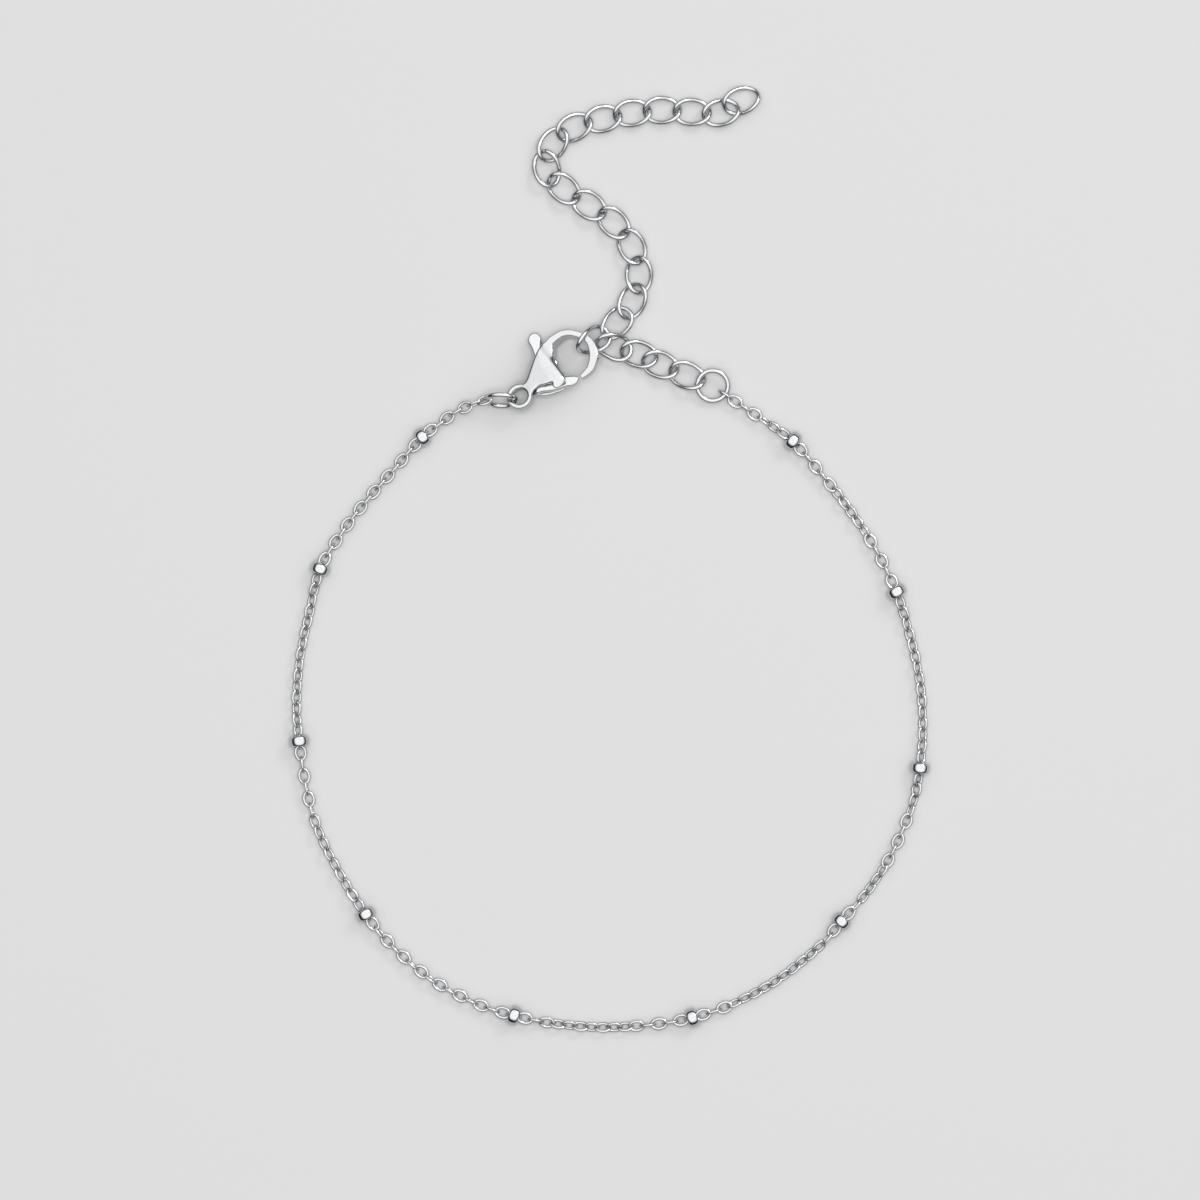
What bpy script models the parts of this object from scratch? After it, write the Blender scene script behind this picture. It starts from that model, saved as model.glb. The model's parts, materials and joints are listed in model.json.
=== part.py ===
"""Beaded anklet of polished steel, laid open on a table.

A fine cable chain carries ten round beads. One end holds a lobster clasp on a jump ring,
the other a jump ring and a curb chain of 21 links, so that the anklet can be worn at several sizes.
The clasp's hook is closed over a link near the middle of the curb chain.

Frame: metres, +X to the right and +Y away from the wearer, seen from above, +Z up.
The origin is the middle of the anklet's box, on the table.
"""

import math

import bmesh
import bpy
from mathutils import Matrix, Vector

MM = 0.001

# Fine cable chain
fine_link_length = 1.95 * MM
fine_link_width = 1.45 * MM
fine_wire = 0.33 * MM
chain_body_diameter = 1.2 * MM
chain_end_gap = 0.12 * MM
chain_sides_turn = math.radians(22.5)
route_probe = 0.1
points_between_beads = 5
bead_ramp = 3.0 * MM
end_ramp = 6.0 * MM

# Beads
bead_diameter = 2.2 * MM
bead_length = 1.2 * MM
bead_band = 0.5 * MM
bead_shoulder = 0.35 * MM
bead_bore_clearance = 0.15 * MM
bead_bore = chain_body_diameter + 2 * bead_bore_clearance
bead_hold_share = 0.75
bead_sides = 16

# Curb chain
curb_link_length = 4.48 * MM
curb_link_width = 3.23 * MM
curb_wire = 0.48 * MM
curb_twist = 0.48 * MM
curb_table_clearance = 0.02 * MM
curb_link_points = 16

# Jump rings
right_ring_diameter = 4.0 * MM
left_ring_diameter = 4.1 * MM
ring_wire = 0.55 * MM
ring_points = 16

# Clasp
clasp_length = 11.7 * MM
clasp_width = 6.4 * MM
casing_thickness = 2.9 * MM
casing_edge = 0.55 * MM
hook_width = 0.88 * MM
hook_root_thickness = 2.1 * MM
hook_thickness = 1.3 * MM
eye_bore = 1.86 * MM
eye_wall = 0.58 * MM
eye_thickness = 0.9 * MM
slot_width = 1.1 * MM
lever_side_clearance = 0.15 * MM
lever_edge = 0.16 * MM
pivot_diameter = 0.6 * MM
pivot_clearance = 0.1 * MM
tab_length = 1.6 * MM
tab_width = 1.35 * MM
tab_thickness = 1.2 * MM

# Where things lie, in millimetres: x, y of the chain's axis. A bead sits on each point in bead_places.
chain_route_mm = [
    (-17.10, 16.54), (-19.01, 15.19), (-21.09, 13.56),
    (-24.30, 9.95), (-27.00, 6.90), (-30.04, 3.00), (-32.57, -1.24),
    (-33.85, -6.36), (-34.88, -11.36), (-35.25, -16.60), (-34.93, -20.59),
    (-34.25, -25.20), (-33.00, -30.10), (-30.60, -35.10), (-27.45, -40.05),
    (-24.00, -44.10), (-19.57, -47.70), (-14.62, -50.25), (-10.80, -51.41),
    (-6.50, -52.31), (-0.80, -52.78), (5.17, -52.40), (9.22, -51.65),
    (13.75, -50.15), (18.80, -47.45), (23.50, -43.70), (25.99, -40.84),
    (29.05, -37.35), (31.85, -32.90), (33.98, -27.70), (34.82, -23.62),
    (35.16, -18.84), (34.82, -13.84), (33.75, -8.80), (32.18, -3.83),
    (29.90, 0.90), (27.00, 5.30), (23.72, 9.50), (20.53, 13.12),
    (18.35, 14.75), (16.09, 16.25)]
bead_places = [2, 6, 10, 14, 18, 22, 26, 30, 34, 38]

curb_route_mm = [
    (14.74, 51.40), (12.47, 50.05), (9.22, 50.11), (5.85, 50.32), (2.50, 50.00),
    (-0.80, 49.35), (-4.02, 48.40), (-6.42, 46.50), (-7.12, 43.75), (-5.20, 41.50),
    (-2.35, 39.62), (0.42, 37.65), (2.47, 34.98), (3.25, 31.80), (2.50, 28.85),
    (0.70, 26.35), (-1.90, 24.45), (0.45, 23.75), (3.26, 22.89), (5.65, 21.71),
    (8.66, 20.48)]

# Links that don't lie flat along their neighbours: height of the centre in millimetres, then degrees
tilted_links = {
    1: {"height": 0.73, "yaw": -160, "pitch": 0, "roll": 0},
    16: {"height": 1.02, "yaw": -134, "pitch": 6, "roll": -12},
    17: {"height": 1.93, "yaw": 25, "pitch": -20, "roll": 21},
    18: {"height": 1.16, "yaw": -20, "pitch": -9, "roll": 12},
    19: {"height": 0.76, "yaw": -15, "pitch": 0, "roll": 0},
    20: {"height": 0.78, "yaw": -19.5, "pitch": 0, "roll": 0},
    21: {"height": 0.97, "yaw": -22, "pitch": 5, "roll": -3}}

right_ring_lay = {"x": 11.52, "y": 19.36, "height": 1.0, "yaw": 0, "pitch": 0, "roll": 11.5}
right_end_link_lay = {"x": 12.97, "y": 18.31, "height": 0.82, "yaw": -31.5, "pitch": 0, "roll": 86}

# The clasp lies where its hook holds link 17. The ring and the end link beside it are given from its eye.
clasp_hold_lay = {"x": -2.63, "y": 24.24, "height": 2.37, "yaw": 41.4, "pitch": -1, "roll": -20}
left_ring_from_eye = {"x": -2.16, "y": -0.31, "height": -0.25, "yaw": -3, "pitch": 0, "roll": 70}
left_end_link_from_eye = {"x": -4.01, "y": -0.30, "height": -0.42, "yaw": 190, "pitch": -10, "roll": 36}

# Clasp outlines in its own plane, from the middle of the eye: u towards the hook as shares of
# clasp_length, v across as shares of clasp_width
casing_outline = [
    (0.085, 0.125), (0.171, 0.148), (0.274, 0.273), (0.368, 0.375), (0.470, 0.461), (0.556, 0.481),
    (0.615, 0.445), (0.598, 0.360), (0.551, 0.266), (0.513, 0.133), (0.487, 0.016), (0.470, -0.133),
    (0.457, -0.266), (0.427, -0.336), (0.376, -0.320), (0.291, -0.227), (0.197, -0.125), (0.085, -0.125)]
hook_route = [
    (0.520, 0.385), (0.560, 0.410), (0.624, 0.434), (0.722, 0.391), (0.795, 0.273), (0.838, 0.109),
    (0.839, -0.078), (0.808, -0.258), (0.744, -0.391), (0.662, -0.453), (0.594, -0.450)]
hook_points = 22
hook_tip_share = 0.88
hook_root_share = 0.6
lever_outline = [
    (0.510, 0.692), (0.525, 0.610), (0.502, 0.532), (0.452, 0.420), (0.410, 0.295), (0.368, 0.141),
    (0.342, -0.031), (0.391, -0.195), (0.470, -0.289), (0.541, -0.391), (0.547, -0.453), (0.504, -0.510),
    (0.436, -0.484), (0.368, -0.406), (0.282, -0.273), (0.231, -0.188), (0.226, -0.063), (0.265, 0.094),
    (0.330, 0.300), (0.378, 0.460), (0.402, 0.590), (0.424, 0.690), (0.468, 0.725)]
tab_place = (0.466, 0.605)
pivot_place = (0.282, -0.141)
hold_place = (0.830, -0.040)
slot_from = 0.185
slot_to_at_tab = 0.487
slot_to_at_gate = 0.560
slot_gate_side = 0.120


def clear_scene():
    for thing in list(bpy.data.objects):
        bpy.data.objects.remove(thing, do_unlink=True)


def new_collection(name):
    group = bpy.data.collections.new(name)
    bpy.context.scene.collection.children.link(group)
    return group


def steel(name, colour, roughness):
    made = bpy.data.materials.new(name)
    made.use_nodes = True
    shader = made.node_tree.nodes["Principled BSDF"]
    shader.inputs["Base Color"].default_value = colour
    shader.inputs["Metallic"].default_value = 1.0
    shader.inputs["Roughness"].default_value = roughness
    return made


def lay_matrix(lay):
    """Turn a row of place and degrees into a matrix: roll about the piece, then pitch, then yaw."""
    place = Matrix.Translation((lay["x"] * MM, lay["y"] * MM, lay["height"] * MM))
    yaw = Matrix.Rotation(math.radians(lay["yaw"]), 4, "Z")
    pitch = Matrix.Rotation(-math.radians(lay["pitch"]), 4, "Y")
    roll = Matrix.Rotation(math.radians(lay["roll"]), 4, "X")
    return place @ yaw @ pitch @ roll


def clasp_frame():
    """The clasp's own plane from the middle of its eye, placed so that the hook holds link 17."""
    hold_u, hold_v = in_plane([hold_place])[0]
    return lay_matrix(clasp_hold_lay) @ Matrix.Translation((-hold_u, -hold_v, 0))


def beside_eye(lay):
    """Turn a row given from the middle of the clasp's eye into one given from the origin."""
    eye = clasp_frame().translation / MM
    return {**lay, "x": eye.x + lay["x"], "y": eye.y + lay["y"], "height": eye.z + lay["height"]}


def add_object(name, data, group, material, matrix=None):
    made = bpy.data.objects.new(name, data)
    group.objects.link(made)
    if material and not data.materials:
        data.materials.append(material)
    if matrix:
        made.matrix_world = matrix
    return made


def round_shading(thing):
    thing.data.shade_smooth()
    thing.data.set_sharp_from_angle(angle=math.radians(40))


def wire_curve(name, points, wire, sides_resolution, closed, radii=None):
    """A wire along points: a curve with a round section, capped when it is open."""
    curve = bpy.data.curves.new(name, "CURVE")
    curve.dimensions = "3D"
    curve.bevel_depth = wire / 2
    curve.bevel_resolution = sides_resolution
    curve.use_fill_caps = not closed
    spline = curve.splines.new("POLY")
    spline.points.add(len(points) - 1)
    for index, point in enumerate(points):
        spline.points[index].co = (*point, 1.0)
        if radii:
            spline.points[index].radius = radii[index]
    spline.use_cyclic_u = closed
    return curve


def outline_curve(name, outline, thickness, edge):
    """A closed flat outline with smooth corners, given its thickness and rounded edges."""
    curve = bpy.data.curves.new(name, "CURVE")
    curve.dimensions = "2D"
    curve.fill_mode = "BOTH"
    curve.resolution_u = 2
    curve.extrude = thickness / 2 - edge
    curve.bevel_depth = edge
    curve.bevel_resolution = 1
    curve.offset = -edge
    spline = curve.splines.new("BEZIER")
    spline.bezier_points.add(len(outline) - 1)
    for point, (u, v) in zip(spline.bezier_points, outline):
        point.co = (u, v, 0)
        point.handle_left_type = "AUTO"
        point.handle_right_type = "AUTO"
    spline.use_cyclic_u = True
    return curve


def curve_to_mesh_object(curve, group, name):
    """Replace a curve by a mesh object of the same place, with its caps welded on."""
    guide = bpy.data.objects.new(curve.name + "_guide", curve)
    group.objects.link(guide)
    bpy.context.view_layer.update()
    evaluated = guide.evaluated_get(bpy.context.evaluated_depsgraph_get())
    mesh = bpy.data.meshes.new_from_object(evaluated)
    shape = bmesh.new()
    shape.from_mesh(mesh)
    bmesh.ops.remove_doubles(shape, verts=shape.verts, dist=0.001 * MM)
    bmesh.ops.recalc_face_normals(shape, faces=shape.faces)
    shape.to_mesh(mesh)
    shape.free()
    made = bpy.data.objects.new(name, mesh)
    group.objects.link(made)
    made.matrix_world = guide.matrix_world
    bpy.data.objects.remove(guide, do_unlink=True)
    return made


def shape_between(points, share):
    """Point of a smooth curve through a list, where share runs over the list's indexes."""
    last = len(points) - 1
    index = min(int(share), last - 1)
    step = share - index
    here = Vector(points[index])
    there = Vector(points[index + 1])
    before = Vector(points[index - 1]) if index > 0 else here * 2 - there
    after = Vector(points[index + 2]) if index + 2 <= last else there * 2 - here
    return 0.5 * (2 * here + (there - before) * step
                  + (2 * before - 5 * here + 4 * there - after) * step ** 2
                  + (3 * here - before - 3 * there + after) * step ** 3)


def smoothstep(share):
    held = min(max(share, 0.0), 1.0)
    return held * held * (3 - 2 * held)


def boolean(thing, tool, operation, cutters):
    """Join or cut a mesh by another one, which stays as a guide."""
    if tool.name not in cutters.objects:
        cutters.objects.link(tool)
    tool.display_type = "WIRE"
    tool.hide_render = True
    change = thing.modifiers.new(operation.lower(), "BOOLEAN")
    change.operation = operation
    change.object = tool
    change.solver = "EXACT"
    return change


# Curb links and jump rings

def curb_link_shape():
    """Oval wire whose ends are twisted opposite ways, so that laid links rest flat on each other."""
    half_length = (curb_link_length - curb_wire) / 2
    half_width = (curb_link_width - curb_wire) / 2
    points = []
    for index in range(curb_link_points):
        turn = 2 * math.pi * index / curb_link_points
        x = half_length * math.cos(turn)
        y = half_width * math.sin(turn)
        z = -curb_twist * math.sin(2 * turn)
        points.append((x, y, z))
    return wire_curve("curb_link", points, curb_wire, 1, True)


def oval_points(length, width, wire, count):
    points = []
    for index in range(count):
        turn = 2 * math.pi * index / count
        points.append(((length - wire) / 2 * math.cos(turn), (width - wire) / 2 * math.sin(turn), 0))
    return points


def link_lay(number):
    """Place and angles of a curb link: flat along the chain unless the table says otherwise."""
    x, y = curb_route_mm[number - 1]
    if number in tilted_links:
        return {"x": x, "y": y, **tilted_links[number]}
    before = Vector(curb_route_mm[number - 2])
    after = Vector(curb_route_mm[number])
    along = after - before
    flat_height = (curb_twist + curb_wire / 2 + curb_table_clearance) / MM
    yaw = math.degrees(math.atan2(along.y, along.x))
    return {"x": x, "y": y, "height": flat_height, "yaw": yaw, "pitch": 0, "roll": 0}


def add_curb_chain(group, material):
    shape = curb_link_shape()
    for number in range(1, len(curb_route_mm) + 1):
        name = "extender_link_%02d" % number
        add_object(name, shape, group, material, lay_matrix(link_lay(number)))


def add_ring(name, diameter, lay, group, material):
    points = oval_points(diameter, diameter, ring_wire, ring_points)
    curve = wire_curve(name, points, ring_wire, 1, True)
    return add_object(name, curve, group, material, lay_matrix(lay))


def add_end_link(name, lay, group, material):
    points = oval_points(fine_link_length, fine_link_width, fine_wire, curb_link_points)
    curve = wire_curve(name, points, fine_wire, 1, True)
    return add_object(name, curve, group, material, lay_matrix(lay))


# Fine chain and its beads

def beyond_end_link(lay):
    """The point where the chain's body starts, just past the far end of an end link."""
    reach = fine_link_length / 2 + chain_end_gap
    return lay_matrix(lay) @ Vector((reach, 0, 0))


def chain_route():
    """Route in metres with its two derived ends, and the index of each bead's point on it."""
    first = beyond_end_link(beside_eye(left_end_link_from_eye))
    last = beyond_end_link(right_end_link_lay)
    middle = [Vector((x * MM, y * MM)) for x, y in chain_route_mm]
    route = [Vector((first.x, first.y))] + middle + [Vector((last.x, last.y))]
    return route, [place + 1 for place in bead_places], first.z, last.z


def route_length(route, start, end):
    """Length of the smooth route between two indexes of its list."""
    pieces = max(int((end - start) * 20), 2)
    total = 0.0
    before = shape_between(route, start)
    for index in range(1, pieces + 1):
        point = shape_between(route, start + (end - start) * index / pieces)
        total += (point - before).length
        before = point
    return total


def route_ahead(route, place):
    """Short step along the route, from just before a place to just after it."""
    return shape_between(route, place + route_probe) - shape_between(route, place - route_probe)


def station_near(route, place, distance):
    """Index on the route at a distance from a bead's place, back or forward along it."""
    return place + distance / (route_ahead(route, place).length / (2 * route_probe))


def chain_stations(route, beads):
    """Indexes on the route for the body's points: close to each bead, and evenly between beads."""
    hold = bead_hold_share * bead_length
    marks = [0.0]
    for place in beads:
        marks.append(station_near(route, place, -hold))
        marks.append(station_near(route, place, hold))
    marks.append(float(len(route) - 1))
    span = route_length(route, beads[0], beads[1])
    stations = [marks[0]]
    for start, end in zip(marks[0::2], marks[1::2]):
        length = route_length(route, start, end)
        count = max(round(length / span * (points_between_beads + 1)), 1)
        stations += [start + (end - start) * index / count for index in range(1, count + 1)]
        if end != marks[-1]:
            stations.append(marks[marks.index(end) + 1])
    return stations


def chain_height(point, bead_points, first, last):
    """The body lies on the table, and rises to each bead's bore and to the two end links."""
    flat = chain_body_diameter / 2
    height = flat
    for bead in bead_points:
        share = 1 - ((point - bead).length - bead_length / 2) / bead_ramp
        height = max(height, flat + (bead_diameter / 2 - flat) * smoothstep(share))
    for end in (first, last):
        share = 1 - (point - end.xy).length / end_ramp
        height = max(height, flat + (end.z - flat) * smoothstep(share))
    return height


def add_chain(group, material):
    route, beads, first_height, last_height = chain_route()
    bead_points = [shape_between(route, place) for place in beads]
    first = Vector((*route[0], first_height))
    last = Vector((*route[-1], last_height))
    points = []
    for station in chain_stations(route, beads):
        point = shape_between(route, station)
        points.append((*point, chain_height(point, bead_points, first, last)))
    curve = wire_curve("chain", points, chain_body_diameter, 2, False)
    for point in curve.splines[0].points:
        point.tilt = chain_sides_turn
    add_object("chain", curve, group, material)


def bead_profile():
    """Half section of a bead, down its outer side and up its bore, with a flat band round the middle."""
    grow = 1 / math.cos(math.pi / bead_sides)
    outer = bead_diameter / 2 * grow
    shoulder = outer - bead_shoulder
    bore = bead_bore / 2 * grow
    half = bead_length / 2
    return [(bore, half), (shoulder, half), (outer, bead_band / 2), (outer, -bead_band / 2),
            (shoulder, -half), (bore, -half)]


def add_beads(group, material):
    route, beads, _, _ = chain_route()
    mesh = bpy.data.meshes.new("bead_profile")
    profile = bead_profile()
    edges = [(index, (index + 1) % len(profile)) for index in range(len(profile))]
    mesh.from_pydata([(x, 0, z) for x, z in profile], edges, [])
    for number, place in enumerate(beads, 1):
        point = shape_between(route, place)
        ahead = route_ahead(route, place)
        along = Vector((ahead.x, ahead.y, 0)).normalized()
        down = Vector((0, 0, -1))
        side = along.cross(down)
        turn = Matrix((down, side, along)).transposed().to_4x4()
        facet = Matrix.Rotation(-math.pi / bead_sides, 4, "Z")
        place_matrix = Matrix.Translation((point.x, point.y, bead_diameter / 2)) @ turn @ facet
        bead = add_object("bead_%02d" % number, mesh, group, material, place_matrix)
        screw = bead.modifiers.new("turned", "SCREW")
        screw.steps = bead_sides
        screw.render_steps = bead_sides
        screw.use_merge_vertices = True
        screw.merge_threshold = 0.001 * MM
        screw.use_smooth_shade = True


# Clasp

def in_plane(outline):
    return [(u * clasp_length, v * clasp_width) for u, v in outline]


def box(name, low, high):
    mesh = bpy.data.meshes.new(name)
    shape = bmesh.new()
    bmesh.ops.create_cube(shape, size=1.0)
    size = Vector(high) - Vector(low)
    bmesh.ops.scale(shape, vec=size, verts=shape.verts)
    bmesh.ops.translate(shape, vec=(Vector(high) + Vector(low)) / 2, verts=shape.verts)
    shape.to_mesh(mesh)
    shape.free()
    return bpy.data.objects.new(name, mesh)


def post(name, diameter, length, place, sides=12):
    mesh = bpy.data.meshes.new(name)
    shape = bmesh.new()
    bmesh.ops.create_cone(shape, cap_ends=True, segments=sides, radius1=diameter / 2,
                          radius2=diameter / 2, depth=length)
    bmesh.ops.translate(shape, vec=place, verts=shape.verts)
    shape.to_mesh(mesh)
    shape.free()
    return bpy.data.objects.new(name, mesh)


def eye_object():
    """Ring at the clasp's end, a torus stretched to the eye's thickness."""
    bpy.ops.mesh.primitive_torus_add(major_radius=eye_bore / 2 + eye_wall / 2, minor_radius=eye_wall / 2,
                                     major_segments=20, minor_segments=8)
    made = bpy.context.object
    made.name = "eye"
    for vertex in made.data.vertices:
        vertex.co.z *= eye_thickness / eye_wall
    return made


def hook_object(cutters):
    """Hook bent round from the casing's shoulder to its tip, thicker than it is wide, most at its root."""
    route = [Vector(point) for point in in_plane(hook_route)]
    last = len(route) - 1
    points = []
    radii = []
    for index in range(hook_points):
        share = index / (hook_points - 1)
        points.append(Vector((*shape_between(route, share * last), 0)))
        radii.append(1 + (hook_tip_share - 1) * share)
    curve = wire_curve("hook", points, hook_width, 2, False, radii)
    hook = curve_to_mesh_object(curve, cutters, "hook")
    for vertex in hook.data.vertices:
        flat = Vector((vertex.co.x, vertex.co.y, 0))
        nearest = min(range(hook_points), key=lambda index: (points[index] - flat).length)
        share = nearest / (hook_points - 1)
        swell = (hook_root_thickness - hook_thickness) * (1 - smoothstep(share / hook_root_share))
        vertex.co.z *= (hook_thickness + swell) / hook_width
    return hook


def add_clasp_body(group, cutters, material, frame):
    outline = outline_curve("casing", in_plane(casing_outline), casing_thickness, casing_edge)
    casing = curve_to_mesh_object(outline, group, "clasp_body")
    casing.data.materials.append(material)
    far = 2 * clasp_width
    half_slot = slot_width / 2
    slot_low = (slot_from * clasp_length, -far, -half_slot)
    slot_high = (slot_to_at_tab * clasp_length, far, half_slot)
    slot = box("slot", slot_low, slot_high)
    gate_high = (slot_to_at_gate * clasp_length, slot_gate_side * clasp_width, half_slot)
    gate_low = (0.5 * (slot_from + slot_to_at_tab) * clasp_length, -far, -half_slot)
    gate_slot = box("gate_slot", gate_low, gate_high)
    pin_place = (*in_plane([pivot_place])[0], 0)
    pin = post("pin", pivot_diameter, casing_thickness - 2 * casing_edge, pin_place)
    boolean(casing, eye_object(), "UNION", cutters)
    boolean(casing, hook_object(cutters), "UNION", cutters)
    boolean(casing, slot, "DIFFERENCE", cutters)
    boolean(casing, gate_slot, "DIFFERENCE", cutters)
    boolean(casing, pin, "UNION", cutters)
    eye_hole = post("eye_hole", eye_bore, far, (0, 0, 0), 20)
    boolean(casing, eye_hole, "DIFFERENCE", cutters)
    for tool in cutters.objects:
        tool.matrix_world = frame
    casing.matrix_world = frame
    round_shading(casing)
    return casing


def add_clasp_lever(group, cutters, material, frame):
    """Rocking lever between the casing's walls: thumb tab at one end, gate at the other."""
    thickness = slot_width - 2 * lever_side_clearance
    pivot_u, pivot_v = in_plane([pivot_place])[0]
    pivot = Vector((pivot_u, pivot_v, 0))
    outline = [(u - pivot_u, v - pivot_v) for u, v in in_plane(lever_outline)]
    lever = curve_to_mesh_object(outline_curve("lever", outline, thickness, lever_edge), group, "clasp_lever")
    lever.data.materials.append(material)
    tab_u, tab_v = in_plane([tab_place])[0]
    mesh = bpy.data.meshes.new("tab")
    shape = bmesh.new()
    bmesh.ops.create_uvsphere(shape, u_segments=12, v_segments=8, radius=0.5)
    bmesh.ops.scale(shape, vec=(tab_width, tab_length, tab_thickness), verts=shape.verts)
    bmesh.ops.translate(shape, vec=Vector((tab_u, tab_v, 0)) - pivot, verts=shape.verts)
    shape.to_mesh(mesh)
    shape.free()
    tab = bpy.data.objects.new("tab", mesh)
    hole = post("pivot_hole", pivot_diameter + 2 * pivot_clearance, 2 * casing_thickness, (0, 0, 0))
    boolean(lever, tab, "UNION", cutters)
    boolean(lever, hole, "DIFFERENCE", cutters)
    place = frame @ Matrix.Translation(pivot)
    for thing in (lever, tab, hole):
        thing.matrix_world = place
    round_shading(lever)
    return lever


def main():
    clear_scene()
    group = new_collection("beaded_anklet")
    cutters = new_collection("cutters")
    chain_steel = steel("chain_steel", (0.72, 0.73, 0.74, 1), 0.24)
    bead_steel = steel("bead_steel", (0.78, 0.79, 0.80, 1), 0.12)
    link_steel = steel("link_steel", (0.76, 0.77, 0.78, 1), 0.16)
    clasp_steel = steel("clasp_steel", (0.78, 0.79, 0.80, 1), 0.14)
    lever_steel = steel("lever_steel", (0.75, 0.76, 0.77, 1), 0.18)
    add_chain(group, chain_steel)
    add_beads(group, bead_steel)
    add_end_link("chain_end_link_left", beside_eye(left_end_link_from_eye), group, chain_steel)
    add_end_link("chain_end_link_right", right_end_link_lay, group, chain_steel)
    add_ring("jump_ring_left", left_ring_diameter, beside_eye(left_ring_from_eye), group, link_steel)
    add_ring("jump_ring_right", right_ring_diameter, right_ring_lay, group, link_steel)
    add_curb_chain(group, link_steel)
    frame = clasp_frame()
    add_clasp_body(group, cutters, clasp_steel, frame)
    add_clasp_lever(group, cutters, lever_steel, frame)


main()
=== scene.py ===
# %% [markdown]
# # A beaded anklet in polished steel
#
# The anklet lies open on a pale table: a fine cable chain with ten small beads, a lobster clasp, two jump
# rings and a curb chain that lets the wearer choose the length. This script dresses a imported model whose
# solids fix every size and place, so each piece below takes its place from the solid that it replaces.

# %% Load the frame
import json
import math

import bmesh
import bpy
import numpy as np
from mathutils import Matrix, Vector


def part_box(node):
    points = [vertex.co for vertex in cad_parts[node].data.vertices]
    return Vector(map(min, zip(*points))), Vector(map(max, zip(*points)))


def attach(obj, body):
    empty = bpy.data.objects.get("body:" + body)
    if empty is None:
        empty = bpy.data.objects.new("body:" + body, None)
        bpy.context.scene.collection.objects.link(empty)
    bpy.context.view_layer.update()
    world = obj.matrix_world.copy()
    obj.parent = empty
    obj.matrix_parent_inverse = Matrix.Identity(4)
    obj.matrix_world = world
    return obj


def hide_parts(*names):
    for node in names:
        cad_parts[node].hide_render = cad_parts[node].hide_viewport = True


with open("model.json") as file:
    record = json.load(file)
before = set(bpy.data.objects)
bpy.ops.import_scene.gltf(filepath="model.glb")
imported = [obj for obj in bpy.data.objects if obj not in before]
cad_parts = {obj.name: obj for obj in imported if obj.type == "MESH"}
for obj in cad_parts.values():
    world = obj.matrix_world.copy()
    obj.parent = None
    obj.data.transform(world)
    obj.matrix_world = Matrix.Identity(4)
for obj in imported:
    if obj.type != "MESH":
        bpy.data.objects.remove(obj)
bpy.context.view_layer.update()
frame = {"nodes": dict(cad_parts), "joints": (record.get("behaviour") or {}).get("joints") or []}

MM = 0.001

# %% [markdown]
# ## Looking straight down
#
# The picture was taken from right above through a long lens, so the loop shows with no perspective to
# speak of. A camera 0.9 m up with a lens to match gives that, and it still leaves a trace of depth in the
# clasp.

# %% Camera
def add_object(name, data):
    """Make an object and put it in the scene."""
    made = bpy.data.objects.new(name, data)
    bpy.context.scene.collection.objects.link(made)
    return made


picture_width = 135.0 * MM
picture_centre = (-1.125 * MM, -4.725 * MM)
camera_height = 0.9
camera_data = bpy.data.cameras.new("camera")
camera_data.sensor_width = 36
camera_data.lens = camera_data.sensor_width * camera_height / picture_width
camera = add_object("camera", camera_data)
camera.location = (*picture_centre, camera_height)
bpy.context.scene.camera = camera
print("lens in mm:", round(camera_data.lens))

# %% [markdown]
# ## A pale table and soft light
#
# Bright steel has no colour of its own: it shows what stands round it. Jewellery is lit by a broad white
# panel overhead in a dim room, so that each wire gets a white face and a thin dark edge. Lamps and cards
# could stand in for that room. Here the world is the panel and the room, with a brightness that falls off
# with the angle from the panel's middle, because a world lights every wire from all sides with no noise.
#
# A lamp up on the right throws the soft shadows. One over the camera lights the table inside each link, so
# the shadows stay pale. Standard colour management keeps the whites of such a picture clean.

# %% Colours
def linear(hex_colour):
    """Turn an sRGB hex colour into the linear values that shaders take."""
    parts = [int(hex_colour[index:index + 2], 16) / 255 for index in (1, 3, 5)]
    return (*[c / 12.92 if c <= 0.04045 else ((c + 0.055) / 1.055) ** 2.4 for c in parts], 1.0)


print("mid grey in linear light:", round(linear("#808080")[0], 3))


# %% Nodes and table
def add_node(tree, kind, inputs=None, **settings):
    """Add a node, set its properties, then fill its inputs with values or wire them to sockets."""
    made = tree.nodes.new(kind)
    for name, value in settings.items():
        setattr(made, name, value)
    for name, value in (inputs or {}).items():
        if isinstance(value, bpy.types.NodeSocket):
            tree.links.new(value, made.inputs[name])
        else:
            made.inputs[name].default_value = value
    return made


table_mesh = bpy.data.meshes.new("table")
table_shape = bmesh.new()
bmesh.ops.create_grid(table_shape, x_segments=1, y_segments=1, size=2.0)
table_shape.to_mesh(table_mesh)
table_shape.free()
table = add_object("table", table_mesh)
table_paint = bpy.data.materials.new("matt_card")
table_paint.use_nodes = True
card = table_paint.node_tree.nodes["Principled BSDF"]
card.inputs["Base Color"].default_value = linear("#8e8e8e")
card.inputs["Roughness"].default_value = 0.9
card.inputs["Specular IOR Level"].default_value = 0.1
table_mesh.materials.append(table_paint)
print("table:", [round(side, 1) for side in table.dimensions], "m")


# %% Lamps
def add_lamp(name, place, target, size, power):
    """A square soft box that points at a target."""
    data = bpy.data.lights.new(name, "AREA")
    data.shape = "SQUARE"
    data.size = size
    data.energy = power
    lamp = add_object(name, data)
    lamp.location = place
    lamp.rotation_mode = "QUATERNION"
    lamp.rotation_quaternion = (Vector(place) - Vector(target)).to_track_quat("Z", "Y")
    return lamp


add_lamp("window", place=(0.40, 0.42, 0.50), target=(0, 0, 0), size=0.22, power=1.9)
overhead = add_lamp("over_the_camera", place=(*picture_centre, 1.05), target=(*picture_centre, 0), size=0.5,
                    power=15.0)
overhead.visible_glossy = False  # polished metal mirrors the panel and the room, not this lamp

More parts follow.
